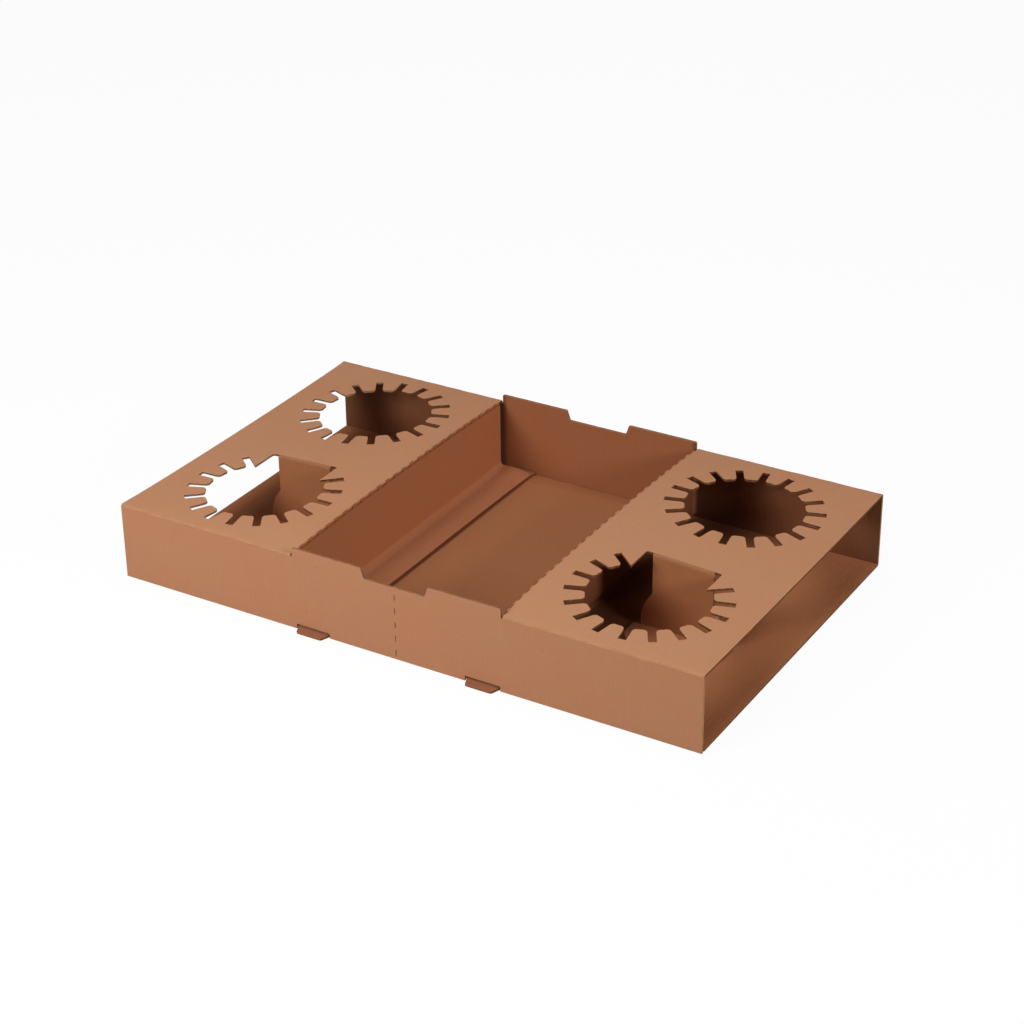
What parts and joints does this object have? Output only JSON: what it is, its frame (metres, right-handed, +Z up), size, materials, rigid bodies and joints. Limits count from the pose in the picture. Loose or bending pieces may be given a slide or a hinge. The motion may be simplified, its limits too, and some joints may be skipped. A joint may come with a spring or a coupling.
{
  "type": "cup carrier tray",
  "caption": "Low open-ended cardboard sleeve with round toothed cup holes at both ends and a sunken well with raised, notched lips between them.",
  "frame": {"origin": "on the table, under the middle of the tray's footprint", "axes": "+X along the tray's length to its right end, +Y to the back wall, +Z up"},
  "size_m": [0.38, 0.242, 0.0522],
  "materials": {
    "kraft_top": "matt brown kraft liner, outer face",
    "kraft_wall": "matt brown kraft liner, outer face",
    "kraft_floor": "matt brown kraft liner, inner face",
    "kraft_flap": "matt brown kraft liner",
    "kraft_crease": "scored and bent kraft board, slightly paler",
    "set_glue": "set hot-melt glue, off-white"
  },
  "bodies": {
    "sleeve": {"floor_left": "kraft_floor", "floor_right": "kraft_floor", "front_wall_left": "kraft_wall", "front_wall_right": "kraft_wall", "back_wall_left": "kraft_wall", "back_wall_right": "kraft_wall", "top_panel_left": "kraft_top", "top_panel_right": "kraft_top", "glue_flap_left": "kraft_flap", "glue_flap_right": "kraft_flap", "glue_seam": "set_glue", "well_crease_left": "kraft_crease", "well_crease_right": "kraft_crease", "divider_crease_left": "kraft_crease", "divider_crease_right": "kraft_crease"},
    "left_well_flap": {"well_wall_left": "kraft_flap", "foot_crease_left": "kraft_crease"},
    "left_well_foot": {"well_foot_left": "kraft_flap", "lock_tab_front_left": "kraft_flap", "lock_tab_back_left": "kraft_flap"},
    "right_well_flap": {"well_wall_right": "kraft_flap", "foot_crease_right": "kraft_crease"},
    "right_well_foot": {"well_foot_right": "kraft_flap", "lock_tab_front_right": "kraft_flap", "lock_tab_back_right": "kraft_flap"},
    "left_divider": {"divider_flap_left": "kraft_flap", "divider_foot_crease_left": "kraft_crease"},
    "left_divider_foot": {"divider_foot_left": "kraft_flap"},
    "right_divider": {"divider_flap_right": "kraft_flap", "divider_foot_crease_right": "kraft_crease"},
    "right_divider_foot": {"divider_foot_right": "kraft_flap"}
  },
  "joints": [
    {"name": "left_well_fold", "type": "hinge", "parent": "sleeve", "child": "left_well_flap", "pos_m": [-0.06855, 0, 0.04725], "axis": [0, -1, 0], "range_deg": [0, 90], "deforming": ["lock_tab_front_left", "lock_tab_back_left"]},
    {"name": "left_foot_fold", "type": "hinge", "parent": "left_well_flap", "child": "left_well_foot", "pos_m": [-0.06855, 0, 0.00245], "axis": [0, 1, 0], "range_deg": [0, 90]},
    {"name": "right_well_fold", "type": "hinge", "parent": "sleeve", "child": "right_well_flap", "pos_m": [0.06855, 0, 0.04725], "axis": [0, 1, 0], "range_deg": [0, 90], "deforming": ["lock_tab_front_right", "lock_tab_back_right"]},
    {"name": "right_foot_fold", "type": "hinge", "parent": "right_well_flap", "child": "right_well_foot", "pos_m": [0.06855, 0, 0.00245], "axis": [0, -1, 0], "range_deg": [0, 90]},
    {"name": "left_divider_fold", "type": "hinge", "parent": "sleeve", "child": "left_divider", "pos_m": [-0.128, -0.018, 0.04725], "axis": [-1, 0, 0], "range_deg": [0, 90]},
    {"name": "left_divider_foot_fold", "type": "hinge", "parent": "left_divider", "child": "left_divider_foot", "pos_m": [-0.128, -0.018, 0.00245], "axis": [1, 0, 0], "range_deg": [0, 90]},
    {"name": "right_divider_fold", "type": "hinge", "parent": "sleeve", "child": "right_divider", "pos_m": [0.128, -0.018, 0.04725], "axis": [-1, 0, 0], "range_deg": [0, 90]},
    {"name": "right_divider_foot_fold", "type": "hinge", "parent": "right_divider", "child": "right_divider_foot", "pos_m": [0.128, -0.018, 0.00245], "axis": [1, 0, 0], "range_deg": [0, 90]}
  ],
  "couplings": [
    {"joint": "left_foot_fold", "follows": "left_well_fold", "ratio": 1},
    {"joint": "right_foot_fold", "follows": "right_well_fold", "ratio": 1},
    {"joint": "left_divider_foot_fold", "follows": "left_divider_fold", "ratio": 1},
    {"joint": "right_divider_foot_fold", "follows": "right_divider_fold", "ratio": 1}
  ]
}
